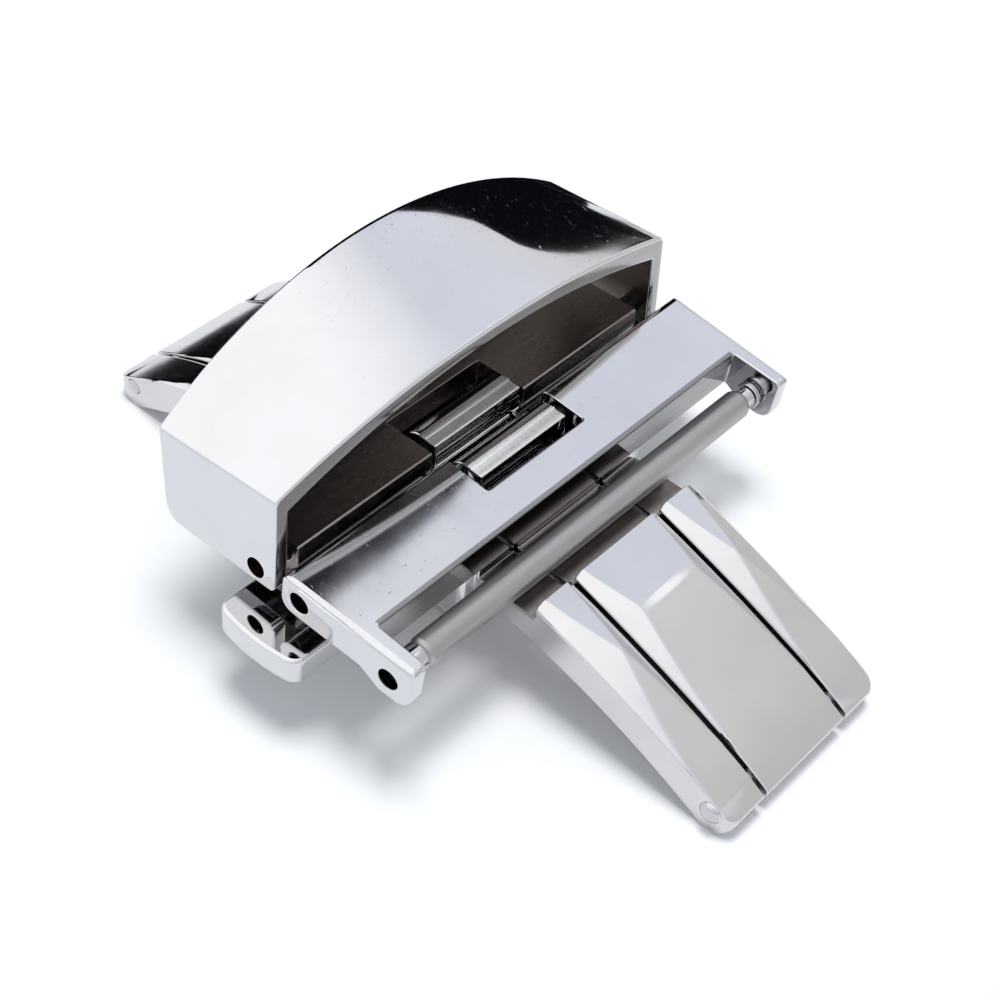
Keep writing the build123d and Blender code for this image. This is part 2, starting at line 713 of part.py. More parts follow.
def build_parts():
    """Every piece of the clasp by its name."""
    return {
        "base_blade": make_base(),
        "housing_floor": make_housing_floor(),
        "housing_screws": make_housing_screws(),
        "button_stop_pins": make_stop_pins(),
        "cover_end_pin": make_end_pin(-end_pin_x, 1),
        "frame_end_pin": make_end_pin(end_pin_x, -1),
        "cover_arm": make_arm(-1, -cover_pin_offset, cover_pin_z),
        "frame_arm": make_arm(1, frame_pin_offset, frame_pin_z),
        "cover_arm_catch": make_catch(-1),
        "frame_arm_catch": make_catch(1),
        "button_near": make_button(-1),
        "button_far": make_button(1),
        "button_spring_near": make_button_spring(-1),
        "button_spring_far": make_button_spring(1),
        "arched_cover": make_cover(),
        "cover_pin": make_hinge_pin(-cover_pin_offset, cover_pin_z, cover_half_width),
        "strap_plate": make_strap_plate(),
        "strap_peg": make_strap_peg(),
        "buckle_frame": make_frame(),
        "frame_pin": make_hinge_pin(frame_pin_offset, frame_pin_z, frame_half_width),
        "spring_bar_tube": make_bar_tube(),
        "spring_bar_tip_near": make_tip(-1),
        "spring_bar_tip_far": make_tip(1),
        "spring_bar_spring": make_bar_spring(),
    }


os.makedirs("parts", exist_ok=True)
for name, shape in build_parts().items():
    export_step(shape, os.path.join("parts", name + ".step"))
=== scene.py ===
import bmesh
import bpy
import json
import math
from mathutils import Matrix, Vector


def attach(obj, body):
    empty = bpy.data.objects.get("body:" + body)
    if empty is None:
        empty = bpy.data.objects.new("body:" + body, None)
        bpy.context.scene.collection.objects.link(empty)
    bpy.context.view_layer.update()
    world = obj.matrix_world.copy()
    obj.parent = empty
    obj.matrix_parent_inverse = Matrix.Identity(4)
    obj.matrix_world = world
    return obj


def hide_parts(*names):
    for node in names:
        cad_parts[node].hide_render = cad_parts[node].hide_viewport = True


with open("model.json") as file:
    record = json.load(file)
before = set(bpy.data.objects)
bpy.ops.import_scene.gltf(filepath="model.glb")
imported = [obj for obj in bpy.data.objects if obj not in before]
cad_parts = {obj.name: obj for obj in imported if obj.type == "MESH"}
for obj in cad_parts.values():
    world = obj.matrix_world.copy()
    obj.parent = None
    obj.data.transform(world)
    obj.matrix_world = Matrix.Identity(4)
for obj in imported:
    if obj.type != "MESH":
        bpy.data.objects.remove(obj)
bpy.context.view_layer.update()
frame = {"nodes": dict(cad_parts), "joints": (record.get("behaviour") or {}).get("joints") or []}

scene = bpy.context.scene
scene.view_settings.view_transform = "Standard"
clasp = frame["nodes"]


# Table, studio and camera
# The clasp stands on a white sheet in a white room, lit by one soft box from above. A dark card
# stands on a dark cloth behind it. Only the polished steel shows them, as its black patches.

def add_node(tree, kind, place=(0, 0), **settings):
    node = tree.nodes.new(kind)
    node.location = place
    for name, value in settings.items():
        setattr(node, name, value)
    return node


def new_material(name):
    material = bpy.data.materials.new(name)
    material.use_nodes = True
    tree = material.node_tree
    return material, tree, tree.nodes["Principled BSDF"]


def link_object(name, data):
    thing = bpy.data.objects.new(name, data)
    scene.collection.objects.link(thing)
    return thing


def larger_of(tree, first, second, place):
    node = add_node(tree, "ShaderNodeMath", place, operation="MAXIMUM")
    tree.links.new(first, node.inputs[0])
    tree.links.new(second, node.inputs[1])
    return node.outputs[0]


def blend_colours(tree, share, first, second, place):
    mix = add_node(tree, "ShaderNodeMix", place, data_type="RGBA")
    tree.links.new(share, mix.inputs[0])
    for socket, colour in ((mix.inputs[6], first), (mix.inputs[7], second)):
        if isinstance(colour, tuple):
            socket.default_value = (*colour, 1)
        else:
            tree.links.new(colour, socket)
    return mix.outputs[2]


# The camera stands and looks as the photograph's did, worked out from corners of the clasp.
camera = link_object("photo_camera", bpy.data.cameras.new("photo_camera"))
camera.data.lens = 71.66
camera.data.sensor_width = 36.0
camera.data.clip_start = 0.002
across = Vector((0.74767386, 0.65778738, 0.09110189))
upwards = Vector((-0.51923284, 0.49355462, 0.69771133))
towards_eye = Vector((0.41398195, -0.56896362, 0.7105627))
stand = Matrix((across, upwards, towards_eye)).transposed().to_4x4()
stand.translation = (0.03536628, -0.04722134, 0.06213894)
camera.matrix_world = stand
scene.camera = camera

sheet_reach = 2
sheet_corners = [(x * sheet_reach, y * sheet_reach, 0) for x, y in ((-1, -1), (1, -1), (1, 1), (-1, 1))]
sheet_mesh = bpy.data.meshes.new("white_sheet")
sheet_mesh.from_pydata(sheet_corners, [], [(0, 1, 2, 3)])
white_sheet = link_object("white_sheet", sheet_mesh)
sheet_paper, tree, paper = new_material("white_paper")
paper.inputs["Base Color"].default_value = (0.93, 0.935, 0.945, 1)
paper.inputs["Roughness"].default_value = 0.9
paper.inputs["Specular IOR Level"].default_value = 0.0
paper.inputs["Emission Color"].default_value = (1, 1, 1, 1)
# The sheet glows faintly to the eye and in the steel, which keeps it white, but it lights nothing.
rays = add_node(tree, "ShaderNodeLightPath", (-900, 300))
seen = larger_of(tree, rays.outputs["Is Camera Ray"], rays.outputs["Is Glossy Ray"], (-680, 300))
seen = larger_of(tree, seen, rays.outputs["Is Transmission Ray"], (-500, 300))
lift = add_node(tree, "ShaderNodeMath", (-320, 300), operation="MULTIPLY")
lift.inputs[1].default_value = 0.07
tree.links.new(seen, lift.inputs[0])
tree.links.new(lift.outputs[0], paper.inputs["Emission Strength"])
sheet_mesh.materials.append(sheet_paper)


def from_bearing(bearing, distance, height):
    """A point by its bearing in degrees and its distance and height in millimetres."""
    turn = math.radians(bearing)
    return distance * math.cos(turn) / 1000, distance * math.sin(turn) / 1000, height / 1000


def strip_faces(first, columns):
    """The faces of a strip with two points to a column, the first of them at index first."""
    return [(low, low + 2, low + 3, low + 1) for low in range(first, first + 2 * (columns - 1), 2)]


# The card: its right edge stands upright behind the arch, its left end bends in to the blade.
# Each column gives its bearing, its distance, its foot and its top.
card_columns = (
    (110.4, 58, 38, 40), (110.6, 58, 35, 41.7), (111.2, 58, 31, 43), (112.3, 58, 25, 42.5),
    (113.4, 58, 19, 42.6), (113.8, 58, 15, 43.2), (115.2, 58, 10, 49.5), (116.8, 58, 6, 59),
    (117.8, 58, 0.3, 64.5), (121.7, 58, 0.3, 81), (126, 58, 0.3, 91), (130.4, 58, 0.3, 99),
    (132.5, 58, 0.3, 114), (135, 57, 0.3, 124), (139, 54, 0.3, 120), (144, 49, 0.3, 104),
    (150, 42, 0.3, 80), (158, 38, 0.3, 60), (166, 37, 0.3, 50), (176, 36, 0.3, 42),
    (188, 36, 0.3, 34),
)
card_points = []
for bearing, distance, foot, top in card_columns:
    card_points += [from_bearing(bearing, distance, foot), from_bearing(bearing, distance, top)]
card_faces = strip_faces(0, len(card_columns))
# The cloth lies under the card and comes forward to the clasp: bearing, near and far edge.
cloth_height = 0.3
cloth_columns = (
    (113, 20, 58), (122, 20, 58), (130, 20, 58), (137, 23, 56), (143, 29, 50), (150, 33, 42),
    (158, 33, 38), (166, 32, 37), (176, 31, 36), (188, 31, 36),
)
card_faces += strip_faces(len(card_points), len(cloth_columns))
for bearing, near_edge, far_edge in cloth_columns:
    card_points.append(from_bearing(bearing, near_edge, cloth_height))
    card_points.append(from_bearing(bearing, far_edge, cloth_height))
card_mesh = bpy.data.meshes.new("dark_card")
card_mesh.from_pydata(card_points, [], card_faces)
dark_card = link_object("dark_card", card_mesh)
card_paint, tree, card = new_material("black_card")
card.inputs["Base Color"].default_value = (0.006, 0.006, 0.008, 1)
card.inputs["Roughness"].default_value = 0.9
card.inputs["Specular IOR Level"].default_value = 0.0
card_mesh.materials.append(card_paint)
dark_card.visible_camera = False
dark_card.visible_shadow = False
dark_card.visible_diffuse = False

# The room: even and slightly blue for the sheet, and brightest at the near left in the steel.
room = bpy.data.worlds.new("white_room")
scene.world = room
room.use_nodes = True
tree = room.node_tree
directions = add_node(tree, "ShaderNodeTexCoord", (-1100, 0))
toward_light = add_node(tree, "ShaderNodeVectorMath", (-900, 0), operation="DOT_PRODUCT")
toward_light.inputs[1].default_value = Vector((-0.45, -0.35, 0.82)).normalized()
tree.links.new(directions.outputs["Generated"], toward_light.inputs[0])
glow = add_node(tree, "ShaderNodeValToRGB", (-700, 0))
glow.color_ramp.elements[0].position = 0.05
glow.color_ramp.elements[0].color = (0.76, 0.755, 0.76, 1)
glow.color_ramp.elements[1].position = 0.82
glow.color_ramp.elements[1].color = (1.40, 1.40, 1.41, 1)
for position, colour in (
    (0.20, (0.91, 0.91, 0.92, 1)),
    (0.29, (0.96, 0.96, 1.00, 1)),
    (0.38, (0.96, 1.00, 1.09, 1)),
    (0.50, (0.93, 0.97, 1.09, 1)),
    (0.58, (0.95, 0.985, 1.075, 1)),
    (0.66, (1.15, 1.18, 1.23, 1)),
    (0.72, (1.27, 1.28, 1.31, 1)),
):
    glow.color_ramp.elements.new(position).color = colour
tree.links.new(toward_light.outputs["Value"], glow.inputs["Fac"])
# A small lamp behind the blade shows as a bright line in the soft crease of its top.
toward_lamp = add_node(tree, "ShaderNodeVectorMath", (-900, -250), operation="DOT_PRODUCT")
toward_lamp.inputs[1].default_value = Vector((0.165, 0.588, 0.791)).normalized()
lamp_spot = add_node(tree, "ShaderNodeMapRange", (-700, -250), interpolation_type="SMOOTHSTEP")
lamp_spot.inputs["From Min"].default_value = 0.988
lamp_spot.inputs["From Max"].default_value = 0.999
tree.links.new(directions.outputs["Generated"], toward_lamp.inputs[0])
tree.links.new(toward_lamp.outputs["Value"], lamp_spot.inputs["Value"])
lit_room = blend_colours(tree, lamp_spot.outputs["Result"], glow.outputs["Color"], (1.4, 1.4, 1.4), (-550, 0))
rays = add_node(tree, "ShaderNodeLightPath", (-700, 400))
for_steel = blend_colours(tree, rays.outputs["Is Glossy Ray"], (0.42, 0.45, 0.49), lit_room, (-400, 100))
for_eye = blend_colours(tree, rays.outputs["Is Camera Ray"], for_steel, (1.0, 1.0, 1.0), (-200, 100))
tree.links.new(for_eye, tree.nodes["Background"].inputs["Color"])

# The soft box casts the shadow on the sheet. The steel mirrors the room and not the lamp.
soft_box = link_object("soft_box", bpy.data.lights.new("soft_box", "AREA"))
soft_box.data.energy = 0.76
soft_box.data.size = 0.12
soft_box.location = (-0.010, 0.012, 0.340)
soft_box.rotation_euler = soft_box.location.to_track_quat("Z", "Y").to_euler()
soft_box.visible_glossy = False


# The long blade
# The curved lower blade is bent and milled from one bar of stainless steel, with the raised deck
# in its middle. Its faces are mirror polished, and the strips sunk beside the deck are ground and painted
# dark as shade.

def new_group(name, inputs, outputs):
    group = bpy.data.node_groups.new(name, "ShaderNodeTree")
    for title, kind, value in inputs:
        group.interface.new_socket(name=title, in_out="INPUT", socket_type=kind).default_value = value
    for title in outputs:
        group.interface.new_socket(name=title, in_out="OUTPUT", socket_type="NodeSocketFloat")
    enter = add_node(group, "NodeGroupInput", (-1200, 0))
    leave = add_node(group, "NodeGroupOutput", (600, 0))
    return group, enter, leave


# Smears: cloudy patches of wax and finger marks, a few millimetres wide.
smears, enter, leave = new_group(
    "handling_smears",
    (("Scale", "NodeSocketFloat", 260.0), ("Low", "NodeSocketFloat", 0.03), ("High", "NodeSocketFloat", 0.1)),
    ("Roughness", "Patches"),
)
spot = add_node(smears, "ShaderNodeTexCoord", (-1200, 250))
clouds = add_node(smears, "ShaderNodeTexNoise", (-900, 100))
clouds.inputs["Detail"].default_value = 5.0
clouds.inputs["Roughness"].default_value = 0.6
patches = add_node(smears, "ShaderNodeMapRange", (-600, 100))
patches.inputs["From Min"].default_value = 0.36
patches.inputs["From Max"].default_value = 0.70
spread = add_node(smears, "ShaderNodeMapRange", (-300, 0))
smears.links.new(spot.outputs["Object"], clouds.inputs["Vector"])
smears.links.new(enter.outputs["Scale"], clouds.inputs["Scale"])
smears.links.new(clouds.outputs[0], patches.inputs["Value"])
smears.links.new(patches.outputs["Result"], spread.inputs["Value"])
smears.links.new(enter.outputs["Low"], spread.inputs["To Min"])
smears.links.new(enter.outputs["High"], spread.inputs["To Max"])
smears.links.new(spread.outputs["Result"], leave.inputs["Roughness"])
smears.links.new(patches.outputs["Result"], leave.inputs["Patches"])

# Hair scratches: short fine lines in three directions, each a few hundredths of a millimetre wide.
hair_scratches, enter, leave = new_group(
    "hair_scratches",
    (("Scale", "NodeSocketVector", (110.0, 9000.0, 9000.0)), ("Rarity", "NodeSocketFloat", 0.78)),
    ("Scratches",),
)
spot = add_node(hair_scratches, "ShaderNodeTexCoord", (-1200, 250))
lines_so_far = None
for turn in ((0.3, 0.2, 0.5), (1.1, -0.4, 2.2), (-0.7, 0.9, 1.3)):
    turned = add_node(hair_scratches, "ShaderNodeVectorRotate", (-950, 200), rotation_type="EULER_XYZ")
    turned.inputs["Rotation"].default_value = turn
    drawn_out = add_node(hair_scratches, "ShaderNodeVectorMath", (-750, 200), operation="MULTIPLY")
    streaks = add_node(hair_scratches, "ShaderNodeTexNoise", (-550, 200))
    streaks.inputs["Scale"].default_value = 1.0
    streaks.inputs["Detail"].default_value = 0.0
    above = add_node(hair_scratches, "ShaderNodeMath", (-350, 200), operation="SUBTRACT")
    line = add_node(hair_scratches, "ShaderNodeMath", (-150, 200), operation="MULTIPLY", use_clamp=True)
    line.inputs[1].default_value = 14.0
    hair_scratches.links.new(spot.outputs["Object"], turned.inputs["Vector"])
    hair_scratches.links.new(turned.outputs["Vector"], drawn_out.inputs[0])
    hair_scratches.links.new(enter.outputs["Scale"], drawn_out.inputs[1])
    hair_scratches.links.new(drawn_out.outputs["Vector"], streaks.inputs["Vector"])
    hair_scratches.links.new(streaks.outputs[0], above.inputs[0])
    hair_scratches.links.new(enter.outputs["Rarity"], above.inputs[1])
    hair_scratches.links.new(above.outputs[0], line.inputs[0])
    if lines_so_far:
        lines_so_far = larger_of(hair_scratches, lines_so_far, line.outputs[0], (100, 100))
    else:
        lines_so_far = line.outputs[0]
hair_scratches.links.new(lines_so_far, leave.inputs["Scratches"])

# Edge wear: the corners are rubbed by cuff and strap, which leaves them lighter and duller.
edge_wear, enter, leave = new_group("edge_wear", (("Reach", "NodeSocketFloat", 0.0001),), ("Wear",))
facing = add_node(edge_wear, "ShaderNodeNewGeometry", (-900, 200))
rounded = add_node(edge_wear, "ShaderNodeBevel", (-900, -50), samples=4)
turned_away = add_node(edge_wear, "ShaderNodeVectorMath", (-650, 100), operation="DOT_PRODUCT")
worn = add_node(edge_wear, "ShaderNodeMapRange", (-400, 100))
worn.inputs["From Min"].default_value = 0.94
worn.inputs["From Max"].default_value = 0.78
edge_wear.links.new(enter.outputs["Reach"], rounded.inputs["Radius"])
edge_wear.links.new(facing.outputs["Normal"], turned_away.inputs[0])
edge_wear.links.new(rounded.outputs["Normal"], turned_away.inputs[1])
edge_wear.links.new(turned_away.outputs["Value"], worn.inputs["Value"])
edge_wear.links.new(worn.outputs["Result"], leave.inputs["Wear"])

# Grain: the parallel lines that a belt leaves. The scale counts them to the metre on each axis.
belt_grain, enter, leave = new_group(
    "belt_grain", (("Scale", "NodeSocketVector", (9000.0, 160.0, 9000.0)),), ("Grain",)
)
spot = add_node(belt_grain, "ShaderNodeTexCoord", (-1200, 250))
drawn_out = add_node(belt_grain, "ShaderNodeVectorMath", (-900, 100), operation="MULTIPLY")
lines = add_node(belt_grain, "ShaderNodeTexNoise", (-600, 100))
lines.inputs["Scale"].default_value = 1.0
lines.inputs["Detail"].default_value = 3.0
belt_grain.links.new(spot.outputs["Object"], drawn_out.inputs[0])
belt_grain.links.new(enter.outputs["Scale"], drawn_out.inputs[1])
belt_grain.links.new(drawn_out.outputs["Vector"], lines.inputs["Vector"])
belt_grain.links.new(lines.outputs[0], leave.inputs["Grain"])

# Place: one inside a block and nought outside it, over a soft border. The block is given by its
# middle and half its size.
inside_block, enter, leave = new_group(
    "inside_block",
    (("Middle", "NodeSocketVector", (0, 0, 0)), ("Half", "NodeSocketVector", (1, 1, 1))),
    ("Inside",),
)
spot = add_node(inside_block, "ShaderNodeTexCoord", (-1200, 250))
offset = add_node(inside_block, "ShaderNodeVectorMath", (-950, 150), operation="SUBTRACT")
size = add_node(inside_block, "ShaderNodeVectorMath", (-750, 150), operation="ABSOLUTE")
over = add_node(inside_block, "ShaderNodeVectorMath", (-550, 150), operation="SUBTRACT")
parts = add_node(inside_block, "ShaderNodeSeparateXYZ", (-350, 150))
fade = add_node(inside_block, "ShaderNodeMapRange", (250, 150))
fade.inputs["From Min"].default_value = 0.00003
fade.inputs["From Max"].default_value = -0.00003
inside_block.links.new(spot.outputs["Object"], offset.inputs[0])
inside_block.links.new(enter.outputs["Middle"], offset.inputs[1])
inside_block.links.new(offset.outputs["Vector"], size.inputs[0])
inside_block.links.new(size.outputs["Vector"], over.inputs[0])
inside_block.links.new(enter.outputs["Half"], over.inputs[1])
inside_block.links.new(over.outputs["Vector"], parts.inputs[0])
farthest = larger_of(inside_block, parts.outputs["X"], parts.outputs["Y"], (-150, 200))
farthest = larger_of(inside_block, farthest, parts.outputs["Z"], (50, 200))
inside_block.links.new(farthest, fade.inputs["Value"])
inside_block.links.new(fade.outputs["Result"], leave.inputs["Inside"])

# Pin holes: painted shade, which paints the inside of a hole across the clasp dark.
pin_hole_shade, enter, leave = new_group(
    "pin_hole_painted_shade",
    (("Axis", "NodeSocketVector", (0, 0, 0)), ("Radius", "NodeSocketFloat", 0.00047)),
    ("Inside",),
)
spot = add_node(pin_hole_shade, "ShaderNodeTexCoord", (-1200, 250))
offset = add_node(pin_hole_shade, "ShaderNodeVectorMath", (-950, 150), operation="SUBTRACT")
side_on = add_node(pin_hole_shade, "ShaderNodeVectorMath", (-750, 150), operation="MULTIPLY")
side_on.inputs[1].default_value = (1, 0, 1)
away = add_node(pin_hole_shade, "ShaderNodeVectorMath", (-550, 150), operation="LENGTH")
within = add_node(pin_hole_shade, "ShaderNodeMath", (-350, 150), operation="LESS_THAN")
pin_hole_shade.links.new(spot.outputs["Object"], offset.inputs[0])
pin_hole_shade.links.new(enter.outputs["Axis"], offset.inputs[1])
pin_hole_shade.links.new(offset.outputs["Vector"], side_on.inputs[0])
pin_hole_shade.links.new(side_on.outputs["Vector"], away.inputs[0])
pin_hole_shade.links.new(away.outputs["Value"], within.inputs[0])
pin_hole_shade.links.new(enter.outputs["Radius"], within.inputs[1])
pin_hole_shade.links.new(within.outputs[0], leave.inputs["Inside"])


def place_group(tree, group, place=(0, 0), **values):
    node = add_node(tree, "ShaderNodeGroup", place)
    node.node_tree = group
    for name, value in values.items():
        node.inputs[name].default_value = value
    return node


def blend_values(tree, share, first, second, place):
    mix = add_node(tree, "ShaderNodeMix", place)
    tree.links.new(share, mix.inputs[0])
    for socket, value in ((mix.inputs[2], first), (mix.inputs[3], second)):
        if isinstance(value, float):
            socket.default_value = value
        else:
            tree.links.new(value, socket)
    return mix.outputs[0]


def put_on_shader(tree, shader, colour, rough, relief, strength, depth):
    """Connect a steel's colour and roughness, and its relief as fine bumps."""
    shader.inputs["Metallic"].default_value = 1.0
    bump = add_node(tree, "ShaderNodeBump", (-400, -300))
    bump.inputs["Strength"].default_value = strength
    bump.inputs["Distance"].default_value = depth
    tree.links.new(relief, bump.inputs["Height"])
    tree.links.new(bump.outputs["Normal"], shader.inputs["Normal"])
    tree.links.new(colour, shader.inputs["Base Color"])
    tree.links.new(rough, shader.inputs["Roughness"])
    return bump


def polished_steel(name, tone, dull_tone, low, high, rarity, wear_reach=0.0001):
    """Mirror-polished stainless steel with smears, hair scratches and rubbed corners."""
    material, tree, shader = new_material(name)
    rub = place_group(tree, smears, (-900, 200), Low=low, High=high)
    hairs = place_group(tree, hair_scratches, (-900, 0), Rarity=rarity)
    rubbed = place_group(tree, edge_wear, (-900, -200), Reach=wear_reach)
    colour = blend_colours(tree, rub.outputs["Patches"], tone, dull_tone, (-650, 300))
    colour = blend_colours(tree, rubbed.outputs["Wear"], colour, (0.86, 0.86, 0.87), (-450, 300))
    rough = blend_values(tree, hairs.outputs["Scratches"], rub.outputs["Roughness"], 0.22, (-650, 0))
    rough = blend_values(tree, rubbed.outputs["Wear"], rough, 0.16, (-450, 0))
    cuts = put_on_shader(tree, shader, colour, rough, hairs.outputs["Scratches"], 0.08, 0.000002)
    cuts.invert = True
    return material


def ground_steel(name, tone, light_tone, low, high, grain, depth=0.0000012, rarity=0.90):
    """Steel left as the belt or the lathe left it, with fine lines along one axis."""
    material, tree, shader = new_material(name)
    rub = place_group(tree, smears, (-900, 200), Low=low, High=high)
    belt = place_group(tree, belt_grain, (-900, 0), Scale=grain)
    hairs = place_group(tree, hair_scratches, (-900, -200), Rarity=rarity)
    rubbed = place_group(tree, edge_wear, (-900, -400), Reach=0.00008)
    colour = blend_colours(tree, belt.outputs["Grain"], tone, light_tone, (-650, 300))
    colour = blend_colours(tree, rubbed.outputs["Wear"], colour, (0.74, 0.73, 0.73), (-450, 300))
    rough = blend_values(tree, belt.outputs["Grain"], rub.outputs["Roughness"], high + 0.06, (-650, 0))
    rough = blend_values(tree, hairs.outputs["Scratches"], rough, 0.2, (-450, 0))
    put_on_shader(tree, shader, colour, rough, belt.outputs["Grain"], 0.3, depth)
    return material


def lay_over(material, share, tone, roughness=None, place=(-250, 300)):
    """Give the part of a steel that the share picks another tone, and another roughness if any."""
    tree = material.node_tree
    shader = tree.nodes["Principled BSDF"]
    colour = shader.inputs["Base Color"]
    tree.links.new(blend_colours(tree, share, colour.links[0].from_socket, tone, place), colour)
    if roughness is not None:
        rough = shader.inputs["Roughness"]
        under = (place[0], place[1] - 300)
        tree.links.new(blend_values(tree, share, rough.links[0].from_socket, roughness, under), rough)


def finish_with(node_names, material):
    for name in node_names:
        clasp[name].data.materials.clear()
        clasp[name].data.materials.append(material)


def new_geometry_group(name):
    group = bpy.data.node_groups.new(name, "GeometryNodeTree")
    for direction in ("INPUT", "OUTPUT"):
        group.interface.new_socket(name="Geometry", in_out=direction, socket_type="NodeSocketGeometry")
    enter = add_node(group, "NodeGroupInput", (-800, 0))
    leave = add_node(group, "NodeGroupOutput", (400, 0))
    return group, enter, leave


# The corners of each piece are broken by the polishing mop: its faces are joined up first, so
# that only true corners are rounded over.
joined_faces, enter, leave = new_geometry_group("joined_faces")
weld = add_node(joined_faces, "GeometryNodeMergeByDistance", (-600, 0))
weld.inputs["Distance"].default_value = 0.000001
plain = add_node(joined_faces, "GeometryNodeRemoveAttribute", (-400, 0))
plain.inputs["Name"].default_value = "custom_normal"
even_faces = add_node(joined_faces, "GeometryNodeSetShadeSmooth", (-200, 0), domain="FACE")
even_edges = add_node(joined_faces, "GeometryNodeSetShadeSmooth", (0, 0), domain="EDGE")
joined_faces.links.new(enter.outputs[0], weld.inputs["Geometry"])
joined_faces.links.new(weld.outputs["Geometry"], plain.inputs["Geometry"])
joined_faces.links.new(plain.outputs["Geometry"], even_faces.inputs["Geometry"])
joined_faces.links.new(even_faces.outputs["Geometry"], even_edges.inputs["Geometry"])
joined_faces.links.new(even_edges.outputs["Geometry"], leave.inputs[0])

# The crease across the top of the blade strips is softer than their corners. These are the edges
# that run straight across and turn by about 15 degrees.
marked_creases, enter, leave = new_geometry_group("marked_creases")


def compare(operation, limit, place):
    node = add_node(marked_creases, "FunctionNodeCompare", place, data_type="FLOAT", operation=operation)
    node.inputs[1].default_value = limit
    return node


turn = add_node(marked_creases, "GeometryNodeInputMeshEdgeAngle", (-800, -200))
enough = compare("GREATER_THAN", math.radians(13), (-600, -200))
little = compare("LESS_THAN", math.radians(17), (-600, -400))
ends = add_node(marked_creases, "GeometryNodeInputMeshEdgeVertices", (-1000, -600))
run = add_node(marked_creases, "ShaderNodeVectorMath", (-800, -600), operation="SUBTRACT")
apart = add_node(marked_creases, "ShaderNodeSeparateXYZ", (-600, -600))
lean = add_node(marked_creases, "ShaderNodeMath", (-450, -600), operation="ABSOLUTE")
straight = compare("LESS_THAN", 0.00005, (-300, -600))
turns = add_node(marked_creases, "FunctionNodeBooleanMath", (-400, -300), operation="AND")
chosen = add_node(marked_creases, "FunctionNodeBooleanMath", (-100, -300), operation="AND")
mark = add_node(
    marked_creases, "GeometryNodeStoreNamedAttribute", (100, 0), data_type="FLOAT", domain="EDGE"
)
mark.inputs["Name"].default_value = "bevel_weight_edge"
marked_creases.links.new(turn.outputs["Unsigned Angle"], enough.inputs[0])
marked_creases.links.new(turn.outputs["Unsigned Angle"], little.inputs[0])
marked_creases.links.new(ends.outputs["Position 1"], run.inputs[0])
marked_creases.links.new(ends.outputs["Position 2"], run.inputs[1])
marked_creases.links.new(run.outputs["Vector"], apart.inputs[0])
marked_creases.links.new(apart.outputs["X"], lean.inputs[0])
marked_creases.links.new(lean.outputs[0], straight.inputs[0])
marked_creases.links.new(enough.outputs[0], turns.inputs[0])
marked_creases.links.new(little.outputs[0], turns.inputs[1])
marked_creases.links.new(turns.outputs[0], chosen.inputs[0])
marked_creases.links.new(straight.outputs[0], chosen.inputs[1])
marked_creases.links.new(enter.outputs[0], mark.inputs["Geometry"])
marked_creases.links.new(chosen.outputs[0], mark.inputs["Value"])
marked_creases.links.new(mark.outputs["Geometry"], leave.inputs[0])


def round_corners(node_names, width, from_angle=12, crease=0):
    for name in node_names:
        piece = clasp[name]
        piece.modifiers.new("joined_faces", "NODES").node_group = joined_faces
        whole = piece.modifiers.new("whole_faces", "DECIMATE")
        whole.decimate_type = "DISSOLVE"
        whole.angle_limit = math.radians(0.5)
        if crease:
            piece.modifiers.new("marked_creases", "NODES").node_group = marked_creases
            soft = piece.modifiers.new("soft_creases", "BEVEL")
            soft.limit_method = "WEIGHT"
            soft.width = crease
            soft.segments = 5
            soft.use_clamp_overlap = False
        mop = piece.modifiers.new("rounded_corners", "BEVEL")
        mop.limit_method = "ANGLE"
        mop.angle_limit = math.radians(from_angle)
        mop.width = width
        mop.segments = 2
        mop.use_clamp_overlap = False
        mop.miter_outer = "MITER_ARC"
        even = piece.modifiers.new("even_shading", "WEIGHTED_NORMAL")
        even.mode = "FACE_AREA"
        even.weight = 50
        even.keep_sharp = False


def add_shaded_sunk_strips(material):
    """The strips between deck and rails, sunk below the polish, are ground, and their dark brown is painted
    shade.
    """
    tree = material.node_tree
    belt = place_group(tree, belt_grain, (-1200, -700), Scale=(2600.0, 2600.0, 2600.0))
    strips = []
    for side in (-1, 1):
        strips.append(place_group(
            tree, inside_block, (-1200, -900 + 200 * side),
            Middle=(side * 0.0055, 0, 0.00450), Half=(0.00143, 0.0050, 0.00009),
        ))
    either_shade = larger_of(tree, strips[0].outputs["Inside"], strips[1].outputs["Inside"], (-950, -900))
    # Painted shade: the strips lie under the spring bar and the cover, so they are painted dark brown.
    brown = blend_colours(tree, belt.outputs["Grain"], (0.30, 0.27, 0.25), (0.46, 0.43, 0.41), (-700, -700))
    lay_over(material, either_shade, brown, 0.24)


blade_steel = polished_steel(
    "blade_polished_steel", (0.648, 0.648, 0.652), (0.612, 0.603, 0.608), 0.06, 0.12, rarity=0.80
)
add_shaded_sunk_strips(blade_steel)
finish_with(["base_blade"], blade_steel)
round_corners(["base_blade"], 0.00007, crease=0.00025)


# Latch housing underneath
# A flat plate closes the housing from below, held by two flat-headed screws, and two upright
# pins keep the buttons in. All of it is turned or ground, not polished, as it is out of sight.

housing_steel = ground_steel(
    "housing_ground_steel", (0.46, 0.44, 0.42), (0.58, 0.56, 0.54), 0.18, 0.28, (160.0, 9000.0, 9000.0)
)
finish_with(["housing_floor"], housing_steel)
round_corners(["housing_floor"], 0.00006)

screw_steel = ground_steel(
    "screw_turned_steel", (0.40, 0.39, 0.38), (0.55, 0.54, 0.53), 0.16, 0.24, (7000.0, 7000.0, 400.0)
)
finish_with(["housing_screws", "button_stop_pins"], screw_steel)
round_corners(["housing_screws", "button_stop_pins"], 0.00003, from_angle=30)


# Pins at the blade's ends
# A riveted steel pin joins each arm to the blade's end. Its low domed head is polished like
# chrome and stands a quarter of a millimetre proud of the rail.

